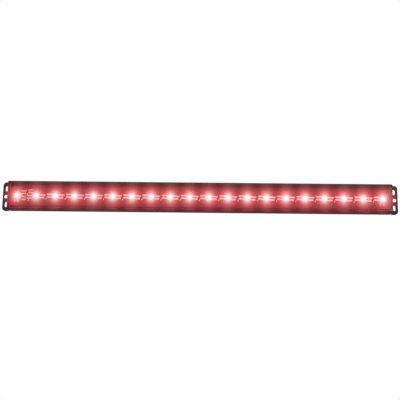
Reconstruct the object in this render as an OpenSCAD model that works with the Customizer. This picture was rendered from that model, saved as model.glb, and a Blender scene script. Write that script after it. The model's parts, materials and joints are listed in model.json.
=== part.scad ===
// Slim LED third brake light: a black channel bar with a clear lens, twenty LEDs and two slotted ears.
// Frame: X along the bar, -Y out of the lens, +Z up. The ears' rear faces lie in the plane Y = 0.
// Distances called "depth" are measured forward from that rear plane, so a depth d is at Y = -d.

/* [LEDs] */
// Number of LEDs in the row
led_count = 20; // [8:1:24]
// Distance between neighbouring LEDs
led_pitch = 30; // [29.5:0.5:40]
// Side of one square LED package
led_size = 7.6; // [6:0.1:8]

/* [Bar] */
// Distance from the last LED to the bar's end
end_margin = 14.2; // [13.5:0.1:20]
// Height of the channel
bar_h = 45.5; // [44:0.5:60]
// Depth of the bar from the rear plane to the lens rim
bar_depth = 16; // [16:0.5:24]
// Height of each lip that the lens looks out between
lip_h = 3.1; // [2.8:0.1:3.4]
// Radius of the channel's four corners, seen from the front
end_r = 3; // [1:0.5:3]
// Thickness of each end plug's outer wall
plug_t = 3; // [2.5:0.1:4]
// Thickness of the silicone seal behind each end plug
end_seal_t = 0.8; // [0.5:0.1:1]

/* [Ears] */
// How far each ear stands out past the bar's end
ear_reach = 10.6; // [10.4:0.1:20]
// Height of an ear
ear_h = 46; // [45:0.5:60]
// Corner radius of an ear
ear_r = 5.5; // [1:0.5:6]
// Thickness of the bracket sheet
ear_t = 2; // [1.5:0.1:2]
// Distance from the bar's end to the middle of the ear's slots
slot_inset = 4.8; // [4.8:0.1:6]
// Width of the upper and lower slots
side_slot_w = 4.3; // [4:0.1:5]
// Length of the upper and lower slots
side_slot_len = 8.5; // [7:0.1:9]
// Distance between the middles of the upper and lower slots
side_slot_spacing = 25; // [24:0.5:27]
// Width of the middle slot
mid_slot_w = 5.4; // [5:0.1:6]
// Length of the middle slot
mid_slot_len = 7.6; // [6.5:0.1:8]

/* [Board] */
// Thickness of the circuit board
board_t = 1.6; // [1:0.1:1.6]
// Thickness of the thermal pad under the board
pad_t = 0.5; // [0.3:0.1:0.8]
// Height of the board's visible face between its rails
board_window_h = 31; // [30:0.5:32]

/* [Supply lead] */
// Radius of the hole that the supply lead passes through
lead_r = 2.2; // [1.5:0.1:2.4]
// Height of the lead hole's axis above the middle of the bar
lead_z = -8.4; // [-8.5:0.1:0]

/* [Hidden] */
$fn = 64;
cut = 0.01;
fit_gap = 0.05;

first_led_x = -(led_count - 1) / 2 * led_pitch;
last_led_x = -first_led_x;
bar_half = last_led_x + end_margin;
lens_half = bar_half - 0.5;
plug_half = bar_half - 0.3;
inner_half = plug_half - plug_t - end_seal_t;
ear_half = bar_half + ear_reach;
z_half = bar_h / 2;

// Depths of the channel's section, from the lens rim back
groove_front = bar_depth - 1.05;
chamber_front = bar_depth - 3.3;
rail_front = bar_depth - 6.8;
board_front = bar_depth - 8;
pad_front = board_front - board_t;
web_front = pad_front - pad_t;
web_back = web_front - 2;

// Half heights of the same section
window_z = z_half - lip_h;
groove_z = z_half - 1.6;
chamber_z = z_half - 3;
board_slot_z = z_half - 4.5;
rear_channel_z = z_half - 8.4;
bracket_recess_z = z_half - 2.2;
outer_r = 1;

// Lens and its two seals
seal_t = 0.6;
seal_h = 1.1;
seal_z = z_half - 2.3;
lens_back = chamber_front + seal_t;
lens_flange_front = groove_front - fit_gap;
lens_front = bar_depth - 0.1;
lens_flange_z = groove_z - 0.1;
lens_crown_z = window_z - 0.2;
lens_chamfer = 0.5;

// End plugs, each with an upper and a lower leg that slide along the chamber's walls
leg_len = 20;
leg_depth0 = rail_front + 0.2;
leg_depth1 = chamber_front - 0.3;
leg_z0 = board_window_h / 2 + 0.7;
leg_z1 = z_half - 4.6;
leg_gap = 0.1;

// Brackets and their screws
foot_len = 5;
arm_len = 30.3;
arm_z0 = rear_channel_z + 0.2;
arm_z1 = bracket_recess_z - 0.1;
screw_z = (arm_z0 + arm_z1) / 2;
screw_insets = [7.6, 24.6];
screw_r = 1.45;
screw_hole_r = 1.5;
screw_len = min(6.4, web_front - 0.4);
screw_hole_depth = screw_len + 0.3;
arm_hole_r = 1.7;
head_r = 2.75;
head_h = 1.25;
drive_r = 1.1;
drive_depth = 0.8;
slot_x = bar_half + slot_inset;

// Cable grommet and the two solder joints in front of its bore
lead_x = first_led_x;
grommet_body_r = 3.95;
web_hole_r = 4;
grommet_flange_r = 5;
grommet_collar_r = 3.4;
grommet_collar_len = 3.3;
grommet_flange_t = 1.3;
grommet_lip_t = 0.4;
joint_pitch = 5;
joint_xs = [lead_x - 1.2, last_led_x - 1.7];
joint_pad_r = 1.3;
joint_pad_t = 0.12;
joint_h = 0.9;
joint_foot_r = 1;
joint_tip_r = 0.5;
lead_hole_r = 0.9;

// LED packages
led_body_h = 1.9;
dome_r = 2.9;
dome_centre_h = 0.9;
cup_r = 1.6;
cup_h = 0.6;
cup_floor = 0.25;
die_size = 0.9;
die_h = 0.25;
tab_len = 1.8;
tab_w = 1.6;
tab_t = 0.35;
tab_z = 2.1;

// Tinned tracks in each gap between LEDs, as distances from the LED on the left
track_t = 0.1;
track_w = 1.3;
track_z = 2.15;
left_track = [4.4, 12.6];
right_track = [16.4, led_pitch - 4.4];
left_track_shift = -0.35;
right_track_shift = 0.95;
link_places = [[13.4, 1.6], [15.5, -4]];
link_size = [0.9, 2.6];
link_tilt = 22;
first_gap_links = [[14, 8.8], [15.5, 2.8], [17.7, -6.4]];

// Chip parts on the board, each as [x, z] from its nearest end LED
resistor_size = [8, 3.3];
resistor_h = 0.75;
resistor_band = 1;
resistor_places = [[8.9, 5.8], [10.2, -3.5], [21.5, 7.5], [19.6, -1.5]];
diode_size = [4.3, 3.4];
diode_h = 2.1;
diode_place = [-3, -12.4];
capacitor_size = [3.2, 3.4];
capacitor_h = 1.6;
capacitor_place = [-8.2, -9];
chip_tab = 0.7;

function led_x(i) = first_led_x + i * led_pitch;

// Extrudes a section drawn as (Y, Z) along X
module along_x(x0, x1)
    translate([x0, 0, 0]) rotate([90, 0, 90]) linear_extrude(x1 - x0) children();

// Raises a shape drawn as (X, Z) forward, from depth d0 to depth d1
module forward(d0, d1)
    translate([0, -d0, 0]) rotate([90, 0, 0]) linear_extrude(d1 - d0) children();

// A round post or hole along Y at (x, z), from depth d0 to depth d1
module post(x, z, d0, d1, r, tip_r)
    translate([x, -d0, z]) rotate([90, 0, 0])
        cylinder(h = d1 - d0, r1 = r, r2 = is_undef(tip_r) ? r : tip_r);

// A section's rectangle between two depths, the same height above and below the middle
module slab(d0, d1, z)
    translate([-d1, -z]) square([d1 - d0, 2 * z]);

// The same rectangle with round corners
module rounded_slab(d0, d1, z, r) {
    slab(d0 + r, d1 - r, z);
    slab(d0, d1, z - r);
    for (u = [-d0 - r, -d1 + r], v = [-z + r, z - r]) translate([u, v]) circle(r = r);
}

// A block centred at (x, z) that stands on the board and rises to height h
module on_board(x, z, size, h0, h1)
    translate([x - size[0] / 2, -board_front - h1, z - size[1] / 2])
        cube([size[0], h1 - h0, size[1]]);

// A slot with round ends, its length along the first axis
module slot(len, w) {
    square([len - w, w], center = true);
    for (s = [-1, 1]) translate([s * (len - w) / 2, 0]) circle(d = w);
}

module housing_section() difference() {
    rounded_slab(0, bar_depth, z_half, outer_r);
    slab(groove_front - cut, bar_depth + 1, window_z);
    slab(chamber_front, groove_front, groove_z);
    slab(rail_front, chamber_front + cut, chamber_z);
    slab(web_front, rail_front + cut, board_window_h / 2);
    slab(web_front, board_front, board_slot_z);
    slab(-1, web_back, rear_channel_z);
    slab(-1, ear_t, bracket_recess_z);
}

// Outline seen from the front, with round corners
module front_outline() {
    square([2 * bar_half, bar_h - 2 * end_r], center = true);
    square([2 * (bar_half - end_r), bar_h], center = true);
    for (u = [-1, 1], v = [-1, 1])
        translate([u * (bar_half - end_r), v * (z_half - end_r)]) circle(r = end_r);
}

module housing() color("#232326") difference() {
    intersection() {
        along_x(-bar_half, bar_half) housing_section();
        forward(-1, bar_depth + 1) front_outline();
    }
    for (side = [-1, 1], inset = screw_insets, s = [-1, 1])
        post(side * (bar_half - inset), s * screw_z, ear_t - cut, screw_hole_depth, screw_hole_r);
    post(lead_x, lead_z, web_back - cut, web_front + cut, web_hole_r);
}

module lens() color([1, 0.93, 0.93, 0.35]) along_x(-lens_half, lens_half) {
    upper = [
        [-lens_back, lens_flange_z], [-lens_flange_front, lens_flange_z],
        [-lens_flange_front, lens_crown_z], [-lens_front + lens_chamfer, lens_crown_z],
        [-lens_front, lens_crown_z - lens_chamfer]
    ];
    lower = [for (i = [len(upper) - 1 : -1 : 0]) [upper[i][0], -upper[i][1]]];
    polygon(concat(upper, lower));
}

// One silicone strip that lies between the lens flange and the ledge behind it
module lens_seal(s) color("#5a5a5c")
    along_x(-lens_half, lens_half)
        translate([-lens_back, s * seal_z - seal_h / 2]) square([seal_t, seal_h]);

// The space inside the channel at its ends, a little smaller all round
module end_section() {
    slab(web_front + fit_gap, board_front - fit_gap, board_slot_z - 0.1);
    slab(web_front + fit_gap, rail_front + fit_gap, board_window_h / 2 - 0.1);
    slab(rail_front + fit_gap, lens_back - fit_gap, chamber_z - 0.1);
}

// Both legs' section, or with a gap the holes that they pass through
module leg_section(gap) for (s = [-1, 1])
    translate([-leg_depth1 - gap, s * (leg_z0 + leg_z1) / 2 - (leg_z1 - leg_z0) / 2 - gap])
        square([leg_depth1 - leg_depth0 + 2 * gap, leg_z1 - leg_z0 + 2 * gap]);

// A clear plug that closes the channel, with two legs beside the board, drawn for the right end
module end_plug() color([1, 0.9, 0.9, 0.4]) {
    along_x(plug_half - plug_t, plug_half) end_section();
    along_x(inner_half - leg_len, plug_half - plug_t + cut) leg_section(0);
}

module end_seal() color("#3b3b3d") along_x(inner_half, plug_half - plug_t) difference() {
    end_section();
    leg_section(leg_gap);
}

// Outline of the right bracket: a slotted ear, a foot behind the housing's end and two arms on its ledges
module bracket_outline() difference() {
    union() {
        translate([bar_half + fit_gap, -ear_h / 2]) square([ear_reach - ear_r - fit_gap, ear_h]);
        translate([bar_half + fit_gap, -ear_h / 2 + ear_r])
            square([ear_reach - fit_gap, ear_h - 2 * ear_r]);
        for (s = [-1, 1]) {
            translate([ear_half - ear_r, s * (ear_h / 2 - ear_r)]) circle(r = ear_r);
            translate([bar_half - arm_len, s * screw_z - (arm_z1 - arm_z0) / 2])
                square([arm_len + 1, arm_z1 - arm_z0]);
        }
        translate([bar_half - foot_len, -arm_z1]) square([foot_len + 1, 2 * arm_z1]);
    }
    translate([slot_x, 0]) slot(mid_slot_len, mid_slot_w);
    for (s = [-1, 1]) translate([slot_x, s * side_slot_spacing / 2]) rotate(90)
        slot(side_slot_len, side_slot_w);
}

module bracket() color("#1e1e20") difference() {
    forward(0, ear_t) bracket_outline();
    for (inset = screw_insets, s = [-1, 1]) {
        post(bar_half - inset, s * screw_z, -cut, ear_t + cut, arm_hole_r);
        post(bar_half - inset, s * screw_z, 0, head_h, head_r, arm_hole_r);
    }
}

module bracket_screw(x, z) difference() {
    union() {
        post(x, z, 0, screw_len, screw_r);
        post(x, z, 0, head_h - fit_gap, head_r - fit_gap, screw_r);
    }
    post(x, z, -cut, drive_depth, drive_r, $fn = 6);
}

module bracket_screws() color("silver")
    for (side = [-1, 1], inset = screw_insets, s = [-1, 1])
        bracket_screw(side * (bar_half - inset), s * screw_z);

module cable_grommet() color("#2c2c2e") difference() {
    union() {
        post(lead_x, lead_z, web_back - grommet_collar_len, web_back, grommet_collar_r);
        post(lead_x, lead_z, web_back - grommet_flange_t, web_back, grommet_flange_r);
        post(lead_x, lead_z, web_back - cut, web_front + cut, grommet_body_r);
        post(lead_x, lead_z, web_front, web_front + grommet_lip_t, grommet_flange_r);
    }
    post(lead_x, lead_z, 0, pad_front, lead_r);
}

module thermal_pad() color("#8a8f96") difference() {
    along_x(-inner_half + 2, inner_half - 2) slab(web_front, pad_front, board_slot_z - 0.5);
    post(lead_x, lead_z, web_front - cut, pad_front + cut, grommet_flange_r + 0.3);
}

module led_board() color("#b23a44") difference() {
    along_x(-inner_half + 0.3, inner_half - 0.3)
        slab(pad_front, board_front, board_slot_z - 0.1);
    for (s = [-1, 1])
        post(joint_xs[0] + s * joint_pitch / 2, lead_z, pad_front - cut, board_front + cut, lead_hole_r);
}

// Two short parallel bars on the board, from x0 to x1
module track_pair(x0, x1, shift)
    for (s = [-1, 1]) on_board((x0 + x1) / 2, shift + s * track_z, [x1 - x0, track_w], 0, track_t);

// Short slanted bars on the board
module links(places)
    for (p = places) translate([p[0], 0, p[1]]) rotate([0, link_tilt, 0])
        on_board(0, 0, link_size, 0, track_t);

module circuit_tracks() color("#ffb4b8") {
    translate([first_led_x, 0, 0]) links(first_gap_links);
    for (i = [1 : led_count - 2]) translate([led_x(i), 0, 0]) {
        track_pair(left_track[0], left_track[1], left_track_shift);
        track_pair(right_track[0], right_track[1], right_track_shift);
        links(link_places);
    }
}

module solder_joint(x)
    translate([x, -board_front, lead_z]) rotate([90, 0, 0]) {
        cylinder(h = joint_pad_t, r = joint_pad_r);
        cylinder(h = joint_h, r1 = joint_foot_r, r2 = joint_tip_r);
    }

module solder_joints() color("#d9c9c9") for (x = joint_xs, s = [-1, 1])
    solder_joint(x + s * joint_pitch / 2);

// Square epoxy body with a round lens on top and a pocket for the reflector cup
module led_package() difference() {
    union() {
        on_board(0, 0, [led_size, led_size], 0, led_body_h);
        intersection() {
            translate([0, -board_front - dome_centre_h, 0]) sphere(r = dome_r);
            on_board(0, 0, [led_size, led_size], 0.5, dome_r + dome_centre_h + 1);
        }
    }
    post(0, 0, board_front - cut, board_front + cup_h + fit_gap, cup_r + fit_gap);
}

module led_packages() color([1, 0.75, 0.75, 0.6])
    for (i = [0 : led_count - 1]) translate([led_x(i), 0, 0]) led_package();

module led_terminals() color("silver")
    for (i = [0 : led_count - 1], side = [-1, 1], s = [-1, 1])
        on_board(led_x(i) + side * (led_size + tab_len) / 2, s * tab_z, [tab_len, tab_w],
            track_t, track_t + tab_t);

module led_reflector_cups() color("#e8e8ea")
    for (i = [0 : led_count - 1]) difference() {
        post(led_x(i), 0, board_front, board_front + cup_h, cup_r);
        post(led_x(i), 0, board_front + cup_floor, board_front + cup_h + cut, 0.8, 1.4);
    }

module led_dies() color("#ff5040")
    for (i = [0 : led_count - 1])
        on_board(led_x(i), 0, [die_size, die_size], cup_floor, cup_floor + die_h);

module ballast_resistors() color("#2a1c1e") for (p = resistor_places)
    on_board(first_led_x + p[0], p[1], resistor_size, 0, resistor_h);

// The pale solder bands along both long sides of each resistor
module ballast_terminals() color("#ffb4b8") for (p = resistor_places, s = [-1, 1])
    on_board(first_led_x + p[0], p[1] + s * (resistor_size[1] + resistor_band) / 2,
        [resistor_size[0], resistor_band], 0, resistor_h * 0.8);

// A chip part with a metal tab at each end
module chip(x, z, size, h, tab) {
    on_board(x, z, size, 0, h);
    for (s = [-1, 1]) on_board(x + s * (size[0] + tab) / 2, z, [tab + 2 * cut, size[1] * 0.7], 0, h / 3);
}

module polarity_diode() color("#7a2038")
    chip(first_led_x + diode_place[0], diode_place[1], diode_size, diode_h, chip_tab);

module filter_capacitor() color("#c8703a")
    chip(last_led_x + capacitor_place[0], capacitor_place[1], capacitor_size, capacitor_h, chip_tab);

housing();
lens();
lens_seal(1);  // lens_seal_upper
lens_seal(-1);  // lens_seal_lower
mirror([1, 0, 0]) end_plug();  // left_end_plug
end_plug();  // right_end_plug
mirror([1, 0, 0]) end_seal();  // left_end_seal
end_seal();  // right_end_seal
mirror([1, 0, 0]) bracket();  // left_bracket
bracket();  // right_bracket
bracket_screws();
cable_grommet();
thermal_pad();
led_board();
circuit_tracks();
solder_joints();
led_packages();
led_terminals();
led_reflector_cups();
led_dies();
ballast_resistors();
ballast_terminals();
polarity_diode();
filter_capacitor();
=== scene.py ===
import json
import math

import bmesh
import bpy
from mathutils import Matrix, Vector


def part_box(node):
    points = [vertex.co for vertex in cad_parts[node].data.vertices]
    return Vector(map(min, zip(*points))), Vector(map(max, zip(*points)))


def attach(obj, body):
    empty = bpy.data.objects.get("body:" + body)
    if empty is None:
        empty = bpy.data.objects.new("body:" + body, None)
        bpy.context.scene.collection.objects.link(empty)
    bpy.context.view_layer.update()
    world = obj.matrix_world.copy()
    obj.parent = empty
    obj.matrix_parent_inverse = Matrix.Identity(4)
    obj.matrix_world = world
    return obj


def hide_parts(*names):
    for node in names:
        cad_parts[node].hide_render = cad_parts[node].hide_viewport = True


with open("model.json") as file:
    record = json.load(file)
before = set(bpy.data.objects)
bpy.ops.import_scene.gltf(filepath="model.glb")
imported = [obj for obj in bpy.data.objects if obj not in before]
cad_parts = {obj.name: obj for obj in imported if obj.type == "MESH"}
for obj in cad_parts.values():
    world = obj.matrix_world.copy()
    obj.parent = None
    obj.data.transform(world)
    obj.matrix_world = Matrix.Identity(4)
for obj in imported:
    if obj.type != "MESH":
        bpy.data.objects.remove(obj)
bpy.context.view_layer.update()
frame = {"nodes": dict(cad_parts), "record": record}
NODES = frame["nodes"]
SLOT_OF = {part["node"]: part["material_slot"] for part in frame["record"]["subparts"]}
MM = 0.001

# ---------------------------------------------------------------- places, read from the frame
BODY = "root"
LENS_HALF_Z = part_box("lens")[1].z
HOUSING_LOW, HOUSING_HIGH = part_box("housing")
BAR_HALF = HOUSING_HIGH.x
BAR_FRONT = HOUSING_LOW.y
BOARD_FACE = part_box("led_board")[0].y
PACKAGE_LOW, PACKAGE_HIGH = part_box("led_packages")
LED_SIZE = PACKAGE_HIGH.z - PACKAGE_LOW.z
LED_HEIGHT = BOARD_FACE - PACKAGE_LOW.y
LED_COUNT = 20
LAST_LED_X = PACKAGE_HIGH.x - LED_SIZE / 2
LED_PITCH = 2 * LAST_LED_X / (LED_COUNT - 1)
LED_X = [-LAST_LED_X + i * LED_PITCH for i in range(LED_COUNT)]

# ---------------------------------------------------------------- sizes of what the scene adds
LED_BODY_HEIGHT = 1.9 * MM
LED_DOME_RADIUS = 2.9 * MM
LED_DOME_STEPS = 8
LED_OUTLINE_POINTS = 32
# Each step of a solder wedge: how far out from the terminal, and how high.
FILLET_STEPS = [(0.0, 0.42 * MM), (0.35 * MM, 0.24 * MM), (0.8 * MM, 0.05 * MM)]
FILLET_HALF = 0.72 * MM
FILLET_TAPER = 0.12 * MM
FILLET_OVERLAP = 0.05 * MM
FILLET_TOP_SHARE = 0.6
TERMINAL_INSET = 0.8 * MM
# Where each pair of tracks lies from its LED: along X, and up.
TRACK_PAIRS = [(9.4 * MM, -0.35 * MM), (20.4 * MM, 0.95 * MM)]
LEGEND_HEIGHT = 0.02 * MM
LEGEND_LENGTH = 6.4 * MM
# Each printed strip: how far above the pair's middle, and how tall.
LEGEND_STRIPS = [(0.0, 2.8 * MM), (3.1 * MM, 0.55 * MM), (-3.1 * MM, 0.55 * MM)]
PRINT_HEIGHT = 0.03 * MM
DASH_COUNT = 3
TRACK_DASH, TRACK_DASH_PITCH = (1.3 * MM, 1.1 * MM), 2.5 * MM
RESISTOR_DASH, RESISTOR_DASH_PITCH = (1.4 * MM, 1.3 * MM), 2.6 * MM
WELD_DISTANCE = 0.001 * MM

# ---------------------------------------------------------------- the LEDs' light, painted on as a glow, in linear colour
# Each lobe dips between LEDs by a share of its mean and fades with height as exp(-(z / height) ** power).
GLOW_RED = {"colour": (0.724, 0.0, 0.0), "dip": 0.27, "height": 16.4 * MM, "power": 2.5, "lift": 0.7 * MM}
GLOW_PINK = {"colour": (0.0, 0.126, 0.147), "dip": 0.41, "height": 13.4 * MM, "power": 1.45,
             "lift": 0.8 * MM}
CORE_COLOUR = (0.03, 0.895, 0.790)
CORE_WIDTH = 5.6 * MM
CORE_HEIGHT = 6.7 * MM
CORE_POWER = 1.9
CORE_LIFT = 0.4 * MM
# Colour of the painted pale pink highlight on the tinned metal.
METAL_PAINTED_HIGHLIGHT = (0.56, 0.35, 0.36)

# Where the painted light on the channel, ears, plugs, board and metal changes: from one place to the other.
WINDOW_EDGE = (LENS_HALF_Z - 0.4 * MM, LENS_HALF_Z - 1.2 * MM)
CHAMBER_FRONT = (BOARD_FACE + 2.5 * MM, BOARD_FACE + 1.5 * MM)
LIP_DEPTH = (-5 * MM, BAR_FRONT)
# Painted shade: towards the bar's ends the channel's painted light falls to BAR_END_SHARE of itself.
BAR_ENDS = (LAST_LED_X - 10 * MM, BAR_HALF - 3 * MM)
BAR_END_SHARE = 0.45
# Painted light: the lower lip's painted glow is raised by LOWER_LIP_SHARE.
LOWER_LIP = (-18.2 * MM, -21.4 * MM)
LOWER_LIP_SHARE = 1.35
EAR_REACH = (BAR_HALF + 11 * MM, BAR_HALF)
EAR_START = (BAR_HALF - 1 * MM, BAR_HALF)
# Painted light: the ears' painted glow is EAR_MIDDLE_SHARE times stronger near their middle height.
EAR_MIDDLE = (9 * MM, 3 * MM)
EAR_MIDDLE_SHARE = 1.7
EAR_FACE = (-0.6 * MM, -1.8 * MM)
# Where the plugs' painted glow rises towards the bar's very ends.
PLUG_END = (BAR_HALF - 4.6 * MM, BAR_HALF - 3.6 * MM)
BOARD_FRONT = (BOARD_FACE + 0.4 * MM, BOARD_FACE + 0.1 * MM)
LED_RIM = (4.5 * MM, 7.0 * MM)


# ---------------------------------------------------------------- node graphs
class Graph:
    """A small helper that builds one material's node tree. A value may be a number, a colour or a socket."""

    def __init__(self, name):
        self.material = bpy.data.materials.new(name)
        self.material.use_nodes = True
        self.tree = self.material.node_tree
        self.tree.nodes.clear()
        self.shader = self.add("ShaderNodeBsdfPrincipled")
        out = self.add("ShaderNodeOutputMaterial")
        self.tree.links.new(self.shader.outputs[0], out.inputs["Surface"])
        self.place = self.add("ShaderNodeTexCoord").outputs["Object"]
        self.axes = None

    def add(self, kind, **settings):
        node = self.tree.nodes.new(kind)
        for key, value in settings.items():
            setattr(node, key, value)
        return node

    def put(self, socket, value):
        if isinstance(value, bpy.types.NodeSocket):
            self.tree.links.new(value, socket)
        elif isinstance(value, (tuple, list)) and socket.type == "RGBA" and len(value) == 3:
            socket.default_value = (*value, 1.0)
        else:
            socket.default_value = value

    def set(self, **values):
        for key, value in values.items():
            self.put(self.shader.inputs[key.replace("_", " ")], value)

    def math(self, operation, *values):
        node = self.add("ShaderNodeMath", operation=operation)
        for socket, value in zip(node.inputs, values):
            self.put(socket, value)
        return node.outputs[0]

    def times(self, first, second):
        return self.math("MULTIPLY", first, second)

    def size(self, letter):
        """How far the point lies from the object's middle along one axis."""
        return self.math("ABSOLUTE", self.axis(letter))

    def axis(self, letter):
        if self.axes is None:
            split = self.add("ShaderNodeSeparateXYZ")
            self.put(split.inputs[0], self.place)
            self.axes = split.outputs
        return self.axes["XYZ".index(letter)]

    def stretched(self, scale):
        node = self.add("ShaderNodeMapping")
        self.put(node.inputs["Vector"], self.place)
        node.inputs["Scale"].default_value = scale
        return node.outputs[0]

    def noise(self, scale, detail=3.0, roughness=0.5, stretch=(1, 1, 1)):
        node = self.add("ShaderNodeTexNoise")
        self.put(node.inputs["Vector"], self.stretched(stretch))
        node.inputs["Scale"].default_value = scale
        node.inputs["Detail"].default_value = detail
        node.inputs["Roughness"].default_value = roughness
        return node.outputs["Fac"]

    def cells(self, scale):
        node = self.add("ShaderNodeTexVoronoi")
        self.put(node.inputs["Vector"], self.place)
        node.inputs["Scale"].default_value = scale
        return node.outputs["Distance"]

    def span(self, value, low, high, out_low=0.0, out_high=1.0):
        """Eases from out_low to out_high as the value goes from low to high."""
        node = self.add("ShaderNodeMapRange", interpolation_type="SMOOTHSTEP")
        for socket, item in zip(node.inputs, (value, low, high, out_low, out_high)):
            self.put(socket, item)
        return node.outputs[0]

    def mix(self, factor, first, second):
        """Mixes two colours. The node's socket names repeat for each kind, so colours go by number."""
        node = self.add("ShaderNodeMix", data_type="RGBA")
        self.put(node.inputs["Factor"], factor)
        self.put(node.inputs[6], first)
        self.put(node.inputs[7], second)
        return node.outputs[2]

    def bump(self, height, strength, distance, normal=None):
        node = self.add("ShaderNodeBump")
        self.put(node.inputs["Height"], height)
        node.inputs["Strength"].default_value = strength
        node.inputs["Distance"].default_value = distance
        if normal is not None:
            self.put(node.inputs["Normal"], normal)
        return node.outputs[0]

    def falloff(self, value, size, power):
        """exp(-(|value| / size) ** power)"""
        share = self.math("DIVIDE", self.math("ABSOLUTE", value), size)
        return self.math("EXPONENT", self.times(self.math("POWER", share, power), -1.0))

    def tint(self, amount, colour):
        """A colour times a number."""
        node = self.add("ShaderNodeVectorMath", operation="SCALE")
        self.put(node.inputs[0], colour)
        self.put(node.inputs["Scale"], amount)
        return node.outputs[0]

    def total(self, first, *others):
        """The sum of two or more colours."""
        for other in others:
            node = self.add("ShaderNodeVectorMath", operation="ADD")
            self.put(node.inputs[0], first)
            self.put(node.inputs[1], other)
            first = node.outputs[0]
        return first

    def led_offset(self):
        """Distance along X from the nearest LED."""
        reach = self.size("X")
        inside = self.math("MINIMUM", reach, LAST_LED_X)
        phase = self.math("SUBTRACT", inside, LED_PITCH / 2)
        phase = self.math("ABSOLUTE", self.math("WRAP", phase, LED_PITCH / 2, -LED_PITCH / 2))
        return self.math("ADD", phase, self.math("SUBTRACT", reach, inside))

    def glow(self):
        """The light that the LED row throws on what lies round it, painted on as a glow: a red lobe, a pink
        one and white cores.
        """
        offset = self.led_offset()
        turn = self.times(offset, 2 * math.pi / LED_PITCH)
        wave = self.math("COSINE", self.math("MINIMUM", turn, math.pi))
        parts = []
        for lobe in (GLOW_RED, GLOW_PINK):
            along = self.math("MULTIPLY_ADD", wave, lobe["dip"], 1.0)
            rise = self.math("SUBTRACT", self.axis("Z"), lobe["lift"])
            up = self.falloff(rise, lobe["height"], lobe["power"])
            parts.append(self.tint(self.times(along, up), lobe["colour"]))
        across = self.falloff(offset, CORE_WIDTH, CORE_POWER)
        up = self.falloff(self.math("SUBTRACT", self.axis("Z"), CORE_LIFT), CORE_HEIGHT, CORE_POWER)
        return self.total(*parts, self.tint(self.times(across, up), CORE_COLOUR))


# ---------------------------------------------------------------- materials
def black_anodised():
    """Extruded channel: drawn lines along X, light scuffs, and a painted glow for the red light that the LEDs
    throw on it, dimmer towards the bar's ends and brighter on the lower lip.
    """
    g = Graph("black_anodised")
    lines = g.noise(900.0, 4.0, 0.6, (0.02, 1.0, 1.0))
    mottle = g.noise(60.0, 5.0, 0.6)
    scuffs = g.span(g.noise(240.0, 6.0, 0.7, (0.3, 1, 1)), 0.60, 0.74)
    tone = g.mix(g.span(mottle, 0.3, 0.7), (0.0100, 0.0082, 0.0086), (0.0200, 0.0150, 0.0158))
    tone = g.mix(g.times(scuffs, 0.35), tone, (0.055, 0.050, 0.050))
    # Painted light: the LEDs' glow painted as emission on the chamber walls and lips, with painted shade
    # towards the bar's ends.
    chamber = g.times(g.span(g.size("Z"), *WINDOW_EDGE), g.span(g.axis("Y"), *CHAMBER_FRONT))
    spill = g.math("MAXIMUM", chamber, g.span(g.axis("Y"), *LIP_DEPTH))
    spill = g.times(spill, g.span(g.size("X"), *BAR_ENDS, 1.0, BAR_END_SHARE))
    spill = g.times(spill, g.span(g.axis("Z"), *LOWER_LIP, 1.0, LOWER_LIP_SHARE))
    g.set(Base_Color=tone, IOR=1.35, Emission_Color=g.tint(spill, g.glow()), Emission_Strength=1.0)
    g.set(Roughness=g.span(lines, 0.25, 0.75, 0.34, 0.52))
    fine = g.bump(lines, 0.25, 0.05 * MM)
    g.set(Normal=g.bump(mottle, 0.12, 0.12 * MM, fine))
    return g.material


def black_steel():
    """Powder-coated ears: fine orange peel, rubbed patches, and a painted glow for the red light that falls
    on them.
    """
    g = Graph("black_steel")
    peel = g.cells(1500.0)
    soft = g.noise(500.0, 3.0)
    rub = g.span(g.noise(130.0, 6.0, 0.65), 0.56, 0.72)
    tone = g.mix(g.span(soft, 0.3, 0.7), (0.0330, 0.0310, 0.0300), (0.0480, 0.0440, 0.0430))
    tone = g.mix(g.times(rub, 0.5), tone, (0.060, 0.052, 0.052))
    # Painted light: the LEDs' red glow painted on the ears' faces, strongest beside the bar and at middle
    # height.
    near = g.times(g.span(g.size("X"), *EAR_REACH, 0.06, 0.40), g.span(g.size("X"), *EAR_START))
    near = g.times(near, g.span(g.size("Z"), *EAR_MIDDLE, 1.0, EAR_MIDDLE_SHARE))
    near = g.times(near, g.span(g.axis("Y"), *EAR_FACE))
    g.set(Base_Color=tone, IOR=1.40, Emission_Color=g.tint(near, g.glow()), Emission_Strength=1.0)
    g.set(Roughness=g.span(g.math("ADD", soft, rub), 0.3, 1.4, 0.36, 0.60))
    g.set(Normal=g.bump(soft, 0.30, 0.06 * MM, g.bump(peel, 0.35, 0.05 * MM)))
    return g.material


def clear_plastic(name, tint, ior, rough, painted_glow, end_painted_glow):
    """Clear polycarbonate with flow lines and hairline scratches. It has a painted glow of the LEDs' light:
    the first glow argument sets how strong, and the second how strong at the bar's very ends."""
    g = Graph(name)
    scratches = g.span(g.noise(2600.0, 2.0, 0.5, (0.05, 1, 1)), 0.64, 0.70)
    flow = g.noise(45.0, 3.0, 0.5, (0.3, 1, 1))
    g.set(Base_Color=tint, IOR=ior, Transmission_Weight=1.0, Specular_IOR_Level=0.30)
    # Painted light: a glow of the LEDs' light, stronger at the bar's very ends.
    share = g.span(g.size("X"), *PLUG_END, 1.0, end_painted_glow / painted_glow)
    g.set(Emission_Color=g.tint(share, g.glow()), Emission_Strength=painted_glow)
    g.set(Roughness=g.math("ADD", g.times(scratches, 0.12), rough))
    g.set(Normal=g.bump(flow, 0.05, 0.2 * MM, g.bump(scratches, 0.04, 0.02 * MM)))
    return g.material


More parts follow.
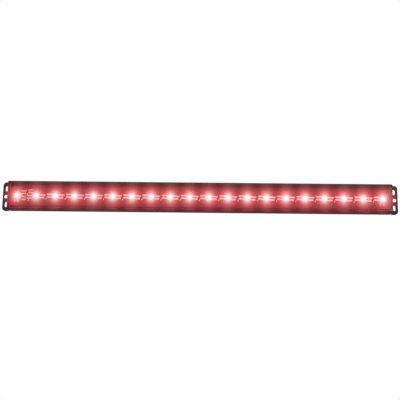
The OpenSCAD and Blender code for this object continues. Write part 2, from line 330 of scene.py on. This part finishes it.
def lit_silicone():
    """Translucent silicone round each end plug, tinted red in its base colour and with a painted glow, both
    standing in for the LEDs' light on it.
    """
    g = Graph("end_silicone")
    fine = g.noise(900.0, 4.0, 0.6)
    g.set(Base_Color=g.mix(g.span(fine, 0.35, 0.7), (0.16, 0.03, 0.034), (0.22, 0.05, 0.055)))
    g.set(Roughness=g.span(fine, 0.3, 0.7, 0.5, 0.7), Normal=g.bump(fine, 0.3, 0.05 * MM))
    # Painted light: the LEDs' glow painted on the silicone as emission.
    g.set(Emission_Color=g.glow(), Emission_Strength=0.72)
    return g.material


def rubber(name, dark, light, grain):
    """Moulded rubber or silicone with a fine matt grain and a dusty bloom."""
    g = Graph(name)
    fine = g.noise(grain, 4.0, 0.6)
    bloom = g.noise(90.0, 5.0, 0.6)
    g.set(Base_Color=g.mix(g.span(bloom, 0.35, 0.7), dark, light), IOR=1.45)
    g.set(Roughness=g.span(fine, 0.3, 0.7, 0.62, 0.86))
    g.set(Normal=g.bump(fine, 0.4, 0.05 * MM))
    return g.material


def zinc_steel():
    """Zinc-plated screws: brushed turning marks with slightly blue and yellow patches."""
    g = Graph("zinc_steel")
    brushed = g.noise(2200.0, 3.0, 0.5, (0.15, 1, 1))
    patches = g.noise(420.0, 4.0)
    g.set(Base_Color=g.mix(g.span(patches, 0.3, 0.7), (0.46, 0.47, 0.50), (0.62, 0.60, 0.54)))
    g.set(Metallic=1.0, Roughness=g.span(brushed, 0.3, 0.7, 0.22, 0.42))
    g.set(Normal=g.bump(brushed, 0.3, 0.02 * MM))
    return g.material


def board_mask():
    """Solder mask over the metal core with a painted glow of the LEDs' light: bright round each one and dark
    red between.
    """
    g = Graph("board_mask")
    grain = g.noise(700.0, 4.0, 0.6)
    cloud = g.noise(85.0, 3.0, 0.5)
    base = g.mix(g.span(cloud, 0.3, 0.7), (0.130, 0.012, 0.016), (0.180, 0.020, 0.024))
    texture = g.span(g.math("ADD", grain, cloud), 0.7, 1.3, 0.94, 1.04)
    # Painted light: the LEDs' glow on the board's face, broken up by the grain.
    lit = g.times(g.span(g.axis("Y"), *BOARD_FRONT), texture)
    g.set(Base_Color=base, IOR=1.5, Emission_Color=g.tint(lit, g.glow()), Emission_Strength=0.95)
    g.set(Roughness=g.span(grain, 0.3, 0.7, 0.35, 0.5))
    g.set(Normal=g.bump(grain, 0.2, 0.04 * MM))
    return g.material


def tinned(name, highlight_share):
    """Tinned copper or solder: uneven and shiny, with a painted glow of the LEDs' light and a painted pale
    pink highlight everywhere except right beside an LED.
    """
    g = Graph(name)
    lumps = g.noise(1500.0, 3.0, 0.55)
    stain = g.noise(380.0, 4.0)
    # Painted highlight: a pale pink glint on the metal, faded out right beside each LED, on top of the
    # painted glow of the LEDs' light.
    highlight_away_from_led = g.span(g.led_offset(), *LED_RIM, 0.10, highlight_share)
    painted_highlight = g.tint(g.times(g.span(lumps, 0.3, 0.7, 0.8, 1.1), highlight_away_from_led), METAL_PAINTED_HIGHLIGHT)
    g.set(Base_Color=g.mix(g.span(stain, 0.3, 0.7), (0.50, 0.34, 0.34), (0.66, 0.50, 0.48)))
    g.set(Metallic=0.6, Roughness=g.span(lumps, 0.3, 0.7, 0.25, 0.45))
    g.set(Emission_Color=g.total(g.glow(), painted_highlight), Emission_Strength=0.85)
    g.set(Normal=g.bump(lumps, 0.5, 0.05 * MM))
    return g.material


def led_epoxy():
    """Clear epoxy over a lit die: almost white over the cup and melting into the glow towards its edges."""
    g = Graph("led_epoxy")
    swirl = g.noise(900.0, 2.0)
    facing = g.add("ShaderNodeLayerWeight")
    facing.inputs["Blend"].default_value = 0.35
    g.set(Base_Color=(0.60, 0.30, 0.30), IOR=1.45, Coat_Weight=0.3, Coat_Roughness=0.08)
    g.set(Emission_Color=g.glow())
    g.set(Emission_Strength=g.span(facing.outputs["Facing"], 0.0, 1.0, 1.0, 0.75))
    g.set(Roughness=g.span(swirl, 0.3, 0.7, 0.10, 0.20))
    g.set(Normal=g.bump(swirl, 0.08, 0.03 * MM))
    return g.material


def lit_solid(name, colour, strength):
    """A small lit piece inside the LED, with a fine sparkle in its surface."""
    g = Graph(name)
    sparkle = g.noise(3000.0, 2.0)
    g.set(Base_Color=g.mix(sparkle, colour, (1.0, 0.9, 0.85)), Emission_Color=colour)
    g.set(Emission_Strength=strength, Roughness=g.span(sparkle, 0.3, 0.7, 0.3, 0.45))
    g.set(Normal=g.bump(sparkle, 0.2, 0.02 * MM))
    return g.material


def chip_body(name, dark, light, strength):
    """A moulded chip or a printed mark with a matt grain, and a painted glow in its own tone for the light of
    the LEDs beside it.
    """
    g = Graph(name)
    grain = g.noise(2400.0, 3.0)
    cloud = g.noise(500.0, 2.0)
    tone = g.mix(g.span(cloud, 0.3, 0.7), dark, light)
    g.set(Base_Color=tone, Roughness=g.span(grain, 0.3, 0.7, 0.4, 0.6))
    # Painted light: the chip glows in its own tone for the LEDs' light on it.
    g.set(Emission_Color=tone, Emission_Strength=strength)
    g.set(Normal=g.bump(grain, 0.35, 0.03 * MM))
    return g.material


def thermal_pad():
    """Grey filled silicone with fine specks."""
    g = Graph("thermal_pad")
    specks = g.cells(1800.0)
    g.set(Base_Color=g.mix(g.span(specks, 0.1, 0.6), (0.20, 0.22, 0.24), (0.34, 0.37, 0.40)))
    g.set(Roughness=g.span(specks, 0.1, 0.6, 0.7, 0.9), Normal=g.bump(specks, 0.3, 0.04 * MM))
    return g.material


MATERIALS = {
    "black_anodised": black_anodised(),
    "black_steel": black_steel(),
    "clear_lens": clear_plastic(
        "clear_lens", tint=(1.0, 0.97, 0.97), ior=1.33, rough=0.04, painted_glow=0.015, end_painted_glow=0.015),
    "clear_end_plug": clear_plastic(
        "clear_end_plug", tint=(1.0, 0.94, 0.94), ior=1.10, rough=0.10, painted_glow=0.02, end_painted_glow=0.20),
    "silicone_seal": rubber("silicone_seal", (0.080, 0.060, 0.062), (0.120, 0.090, 0.092), 900.0),
    "end_silicone": lit_silicone(),
    "grommet_rubber": rubber("grommet_rubber", (0.014, 0.014, 0.015), (0.032, 0.031, 0.032), 1400.0),
    "zinc_steel": zinc_steel(),
    "thermal_pad": thermal_pad(),
    "board_mask": board_mask(),
    "tinned_copper": tinned("tinned_copper", 1.0),
    "solder": tinned("solder", 0.9),
    "led_epoxy": led_epoxy(),
    "led_cup": lit_solid("led_cup", (1.0, 0.88, 0.82), 1.2),
    "led_die": lit_solid("led_die", (1.0, 0.80, 0.70), 4.0),
    "chip_ceramic": chip_body("chip_ceramic", (0.50, 0.140, 0.140), (0.60, 0.190, 0.190), 0.9),
    "board_print": chip_body("board_print", (0.24, 0.030, 0.036), (0.30, 0.048, 0.055), 0.8),
    "board_legend": chip_body("board_legend", (0.62, 0.215, 0.215), (0.72, 0.270, 0.270), 0.95),
    "diode_body": chip_body("diode_body", (0.46, 0.040, 0.090), (0.56, 0.065, 0.120), 0.75),
    "capacitor_body": chip_body("capacitor_body", (0.60, 0.090, 0.045), (0.72, 0.140, 0.070), 0.6),
}


def paint(piece, slot_name):
    """Gives a piece one material, in place of any it has."""
    piece.data.materials.clear()
    piece.data.materials.append(MATERIALS[slot_name])


# ---------------------------------------------------------------- meshes
def smooth(piece, angle=35.0):
    """Shades a piece smooth wherever its faces meet at less than the angle."""
    bpy.context.view_layer.objects.active = piece
    piece.select_set(True)
    bpy.ops.object.shade_smooth_by_angle(angle=math.radians(angle))
    piece.select_set(False)


def bevel(piece, width):
    """Breaks a piece's sharp edges without touching its mesh."""
    broken = piece.modifiers.new("edges", "BEVEL")
    broken.width = width
    broken.segments = 2
    broken.limit_method = "ANGLE"
    broken.angle_limit = math.radians(40.0)
    broken.harden_normals = False


def new_piece(name, builder, slot_name):
    """Makes a mesh object from a bmesh builder, paints it, and lets it ride with the bar."""
    mesh = bpy.data.meshes.new(name)
    work = bmesh.new()
    builder(work)
    bmesh.ops.recalc_face_normals(work, faces=work.faces)
    work.to_mesh(mesh)
    work.free()
    piece = bpy.data.objects.new(name, mesh)
    bpy.context.scene.collection.objects.link(piece)
    paint(piece, slot_name)
    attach(piece, BODY)
    return piece


def loft(work, rings):
    """Skins a list of equal rings of points into one closed shell."""
    made = [[work.verts.new(point) for point in ring] for ring in rings]
    count = len(made[0])
    for low, high in zip(made, made[1:]):
        for i in range(count):
            work.faces.new((low[i], low[(i + 1) % count], high[(i + 1) % count], high[i]))
    work.faces.new(made[0][::-1])
    work.faces.new(made[-1])


def soft_square(half, power):
    """Points round a soft square. A power of 2 makes a circle and a large one is square."""
    points = []
    for i in range(LED_OUTLINE_POINTS):
        turn = 2 * math.pi * (i + 0.5) / LED_OUTLINE_POINTS
        c, s = math.cos(turn), math.sin(turn)
        reach = (abs(c) ** power + abs(s) ** power) ** (-1 / power)
        points.append((half * reach * c, half * reach * s))
    return points


def led_shell(work, x):
    """One epoxy package: a soft square body that blends up into a round lens.
    Each level is its height, its half width and how square it is."""
    half = LED_SIZE / 2
    top, dome = LED_BODY_HEIGHT, LED_DOME_RADIUS
    levels = [(0.0, half, 14.0), (0.25 * MM, half, 14.0), (top - 0.35 * MM, half * 0.975, 12.0),
              (top, half * 0.90, 8.0), (top + 0.05 * MM, dome * 1.04, 2.4)]
    for i in range(1, LED_DOME_STEPS):
        climb = math.pi / 2 * i / LED_DOME_STEPS
        lift = (LED_HEIGHT - top) * math.sin(climb)
        levels.append((top + lift, dome * math.cos(climb) ** 0.85, 2.0))
    levels.append((LED_HEIGHT, dome * 0.06, 2.0))
    rings = []
    for height, half, power in levels:
        rings.append([Vector((x + u, BOARD_FACE - height, v)) for u, v in soft_square(half, power)])
    loft(work, rings)


def box_shell(work, centre, size):
    """One closed box."""
    matrix = Matrix.Translation(centre) @ Matrix.Diagonal((*size, 1.0))
    bmesh.ops.create_cube(work, size=1.0, matrix=matrix)


def islands(name):
    """The low and high corners of each separate solid in a CAD node."""
    work = bmesh.new()
    work.from_mesh(NODES[name].data)
    bmesh.ops.remove_doubles(work, verts=work.verts, dist=WELD_DISTANCE)
    seen = set()
    boxes = []
    for first in work.verts:
        if first in seen:
            continue
        seen.add(first)
        group = [first]
        for vert in group:
            for edge in vert.link_edges:
                other = edge.other_vert(vert)
                if other not in seen:
                    seen.add(other)
                    group.append(other)
        points = [vert.co for vert in group]
        boxes.append((Vector(map(min, *points)), Vector(map(max, *points))))
    work.free()
    return boxes


def dashes(work, x, y, z, size, pitch):
    """A short row of printed dashes along X, centred at (x, z) on a surface that faces the lens at y."""
    for i in range(DASH_COUNT):
        place = Vector((x + (i - (DASH_COUNT - 1) / 2) * pitch, y - PRINT_HEIGHT / 2, z))
        box_shell(work, place, (size[0], PRINT_HEIGHT, size[1]))


def make_led_packages():
    """The epoxy of all the LEDs, in place of the plain CAD packages."""
    def build(work):
        for x in LED_X:
            led_shell(work, x)
    piece = new_piece("led_epoxy_packages", build, "led_epoxy")
    smooth(piece, 50)
    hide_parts("led_packages")


def fillet(work, edge_x, side, z):
    """One wedge of solder that runs out from a terminal's edge to one side, and thins as it goes."""
    rings = []
    for step, (out, rise) in enumerate(FILLET_STEPS):
        half = FILLET_HALF - FILLET_TAPER * step
        x = edge_x + side * (out - FILLET_OVERLAP)
        top = BOARD_FACE - rise
        rings.append([
            Vector((x, BOARD_FACE, z - half)),
            Vector((x, BOARD_FACE, z + half)),
            Vector((x, top, z + half * FILLET_TOP_SHARE)),
            Vector((x, top, z - half * FILLET_TOP_SHARE)),
        ])
    loft(work, rings)


def make_solder_fillets():
    """A small wedge of solder at the outer end of each LED terminal."""
    low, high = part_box("led_terminals")
    reach = high.x - LED_X[-1]
    tab_z = (high.z - low.z) / 2 - TERMINAL_INSET

    def build(work):
        for x in LED_X:
            for side in (-1, 1):
                for row in (-1, 1):
                    fillet(work, x + side * reach, side, row * tab_z)
    piece = new_piece("led_solder_fillets", build, "solder")
    smooth(piece, 60)


def make_board_legend():
    """Pale printed blocks round each pair of tracks, in three strips that leave the tracks clear.
    They share the printed dashes' slot, in a paler ink."""
    def build(work):
        for x in LED_X[1:-1]:
            for out, lift in TRACK_PAIRS:
                for rise, height in LEGEND_STRIPS:
                    place = Vector((x + out, BOARD_FACE - LEGEND_HEIGHT / 2, lift + rise))
                    box_shell(work, place, (LEGEND_LENGTH, LEGEND_HEIGHT, height))
    piece = new_piece("board_legend", build, "board_print")
    paint(piece, "board_legend")


def make_board_print():
    """Short dark dashes printed between each pair of tracks and on top of each ballast resistor."""
    def build(work):
        for x in LED_X[1:-1]:
            for out, lift in TRACK_PAIRS:
                dashes(work, x + out, BOARD_FACE - LEGEND_HEIGHT, lift, TRACK_DASH, TRACK_DASH_PITCH)
        for low, high in islands("ballast_resistors"):
            centre = (low + high) / 2
            dashes(work, centre.x, low.y, centre.z, RESISTOR_DASH, RESISTOR_DASH_PITCH)
    new_piece("board_print", build, "board_print")


# ---------------------------------------------------------------- the object
for name, node in NODES.items():
    paint(node, SLOT_OF[name])
    smooth(node)

EDGE_WIDTH = {
    "housing": 0.25 * MM, "lens": 0.15 * MM, "left_end_plug": 0.25 * MM, "right_end_plug": 0.25 * MM,
    "left_bracket": 0.22 * MM, "right_bracket": 0.22 * MM, "cable_grommet": 0.3 * MM,
    "led_terminals": 0.08 * MM, "circuit_tracks": 0.03 * MM, "ballast_resistors": 0.10 * MM,
    "ballast_terminals": 0.12 * MM, "polarity_diode": 0.18 * MM, "filter_capacitor": 0.15 * MM,
    "solder_joints": 0.10 * MM,
}
for name, width in EDGE_WIDTH.items():
    bevel(NODES[name], width)

make_led_packages()
make_solder_fillets()
make_board_legend()
make_board_print()

# ---------------------------------------------------------------- stage, lights and camera
WHITE = (1.0, 1.0, 1.0)
SKY_COLOUR = (0.97, 0.98, 1.0)
SKY_LIGHT = 0.16
FLOOR_RADIUS = 0.85
FLOOR_DROP = 0.60
CAMERA_AIM = Vector((1.35 * MM, -10.0 * MM, -3.97 * MM))
CAMERA_DISTANCE = 1084.7 * MM
CAMERA_PITCH = math.radians(10.89)
CAMERA_YAW = math.radians(1.03)
CAMERA_ROLL = math.radians(0.761)
CAMERA_FOCAL_MM = 62.73
CAMERA_SENSOR_MM = 36.0


def make_world():
    """White where the camera looks straight at it, and a dimmer studio sky for light and reflections."""
    world = bpy.data.worlds.new("studio")
    bpy.context.scene.world = world
    world.use_nodes = True
    tree = world.node_tree
    tree.nodes.clear()
    out = tree.nodes.new("ShaderNodeOutputWorld")
    seen = tree.nodes.new("ShaderNodeBackground")
    seen.inputs["Color"].default_value = (*WHITE, 1.0)
    sky = tree.nodes.new("ShaderNodeBackground")
    sky.inputs["Color"].default_value = (*SKY_COLOUR, 1.0)
    sky.inputs["Strength"].default_value = SKY_LIGHT
    path = tree.nodes.new("ShaderNodeLightPath")
    pick = tree.nodes.new("ShaderNodeMixShader")
    tree.links.new(path.outputs["Is Camera Ray"], pick.inputs[0])
    tree.links.new(sky.outputs[0], pick.inputs[1])
    tree.links.new(seen.outputs[0], pick.inputs[2])
    tree.links.new(pick.outputs[0], out.inputs["Surface"])


def make_floor():
    """A pale round floor far under the bar, which fades out towards its rim."""
    mesh = bpy.data.meshes.new("floor")
    work = bmesh.new()
    bmesh.ops.create_circle(work, cap_ends=True, radius=FLOOR_RADIUS, segments=96)
    work.to_mesh(mesh)
    work.free()
    floor = bpy.data.objects.new("floor", mesh)
    floor.location = (0, 0, -FLOOR_DROP)
    bpy.context.scene.collection.objects.link(floor)
    g = Graph("floor")
    across = g.add("ShaderNodeVectorMath", operation="LENGTH")
    g.put(across.inputs[0], g.place)
    grain = g.noise(400.0, 3.0)
    g.set(Base_Color=g.mix(grain, (0.90, 0.90, 0.90), (0.93, 0.93, 0.93)), Roughness=0.75)
    g.set(Emission_Color=WHITE, Emission_Strength=0.25)
    g.set(Alpha=g.span(across.outputs["Value"], FLOOR_RADIUS * 0.45, FLOOR_RADIUS * 0.98, 1.0, 0.0))
    floor.data.materials.append(g.material)


def make_light(name, place, size, power):
    """A rectangular lamp that faces the bar's middle."""
    lamp = bpy.data.lights.new(name, "AREA")
    lamp.shape = "RECTANGLE"
    lamp.size, lamp.size_y = size
    lamp.energy = power
    light = bpy.data.objects.new(name, lamp)
    bpy.context.scene.collection.objects.link(light)
    light.location = place
    light.rotation_euler = (-Vector(place)).to_track_quat("-Z", "Y").to_euler()


def make_camera():
    """Nearly square-on, from a little below the bar and right of its middle. The view is rolled a touch,
    so the bar's right end lies lower."""
    data = bpy.data.cameras.new("camera")
    data.sensor_width = CAMERA_SENSOR_MM
    data.lens = CAMERA_FOCAL_MM
    data.clip_start, data.clip_end = 0.05, 50.0
    camera = bpy.data.objects.new("camera", data)
    bpy.context.scene.collection.objects.link(camera)
    level = math.cos(CAMERA_PITCH)
    forward = Vector((-math.sin(CAMERA_YAW) * level, math.cos(CAMERA_YAW) * level, math.sin(CAMERA_PITCH)))
    turn = forward.to_track_quat("-Z", "Y").to_matrix().to_4x4() @ Matrix.Rotation(CAMERA_ROLL, 4, "Z")
    camera.matrix_world = Matrix.Translation(CAMERA_AIM - forward * CAMERA_DISTANCE) @ turn
    bpy.context.scene.camera = camera


make_world()
make_floor()
make_light("key", (-0.6, -1.2, 1.3), (1.2, 0.8), 14.0)
make_light("fill", (0.9, -1.0, 0.5), (0.9, 0.9), 2.6)
make_light("back", (0.5, 1.3, 0.9), (1.2, 0.8), 12.0)
make_camera()
bpy.context.scene.view_settings.view_transform = "Standard"
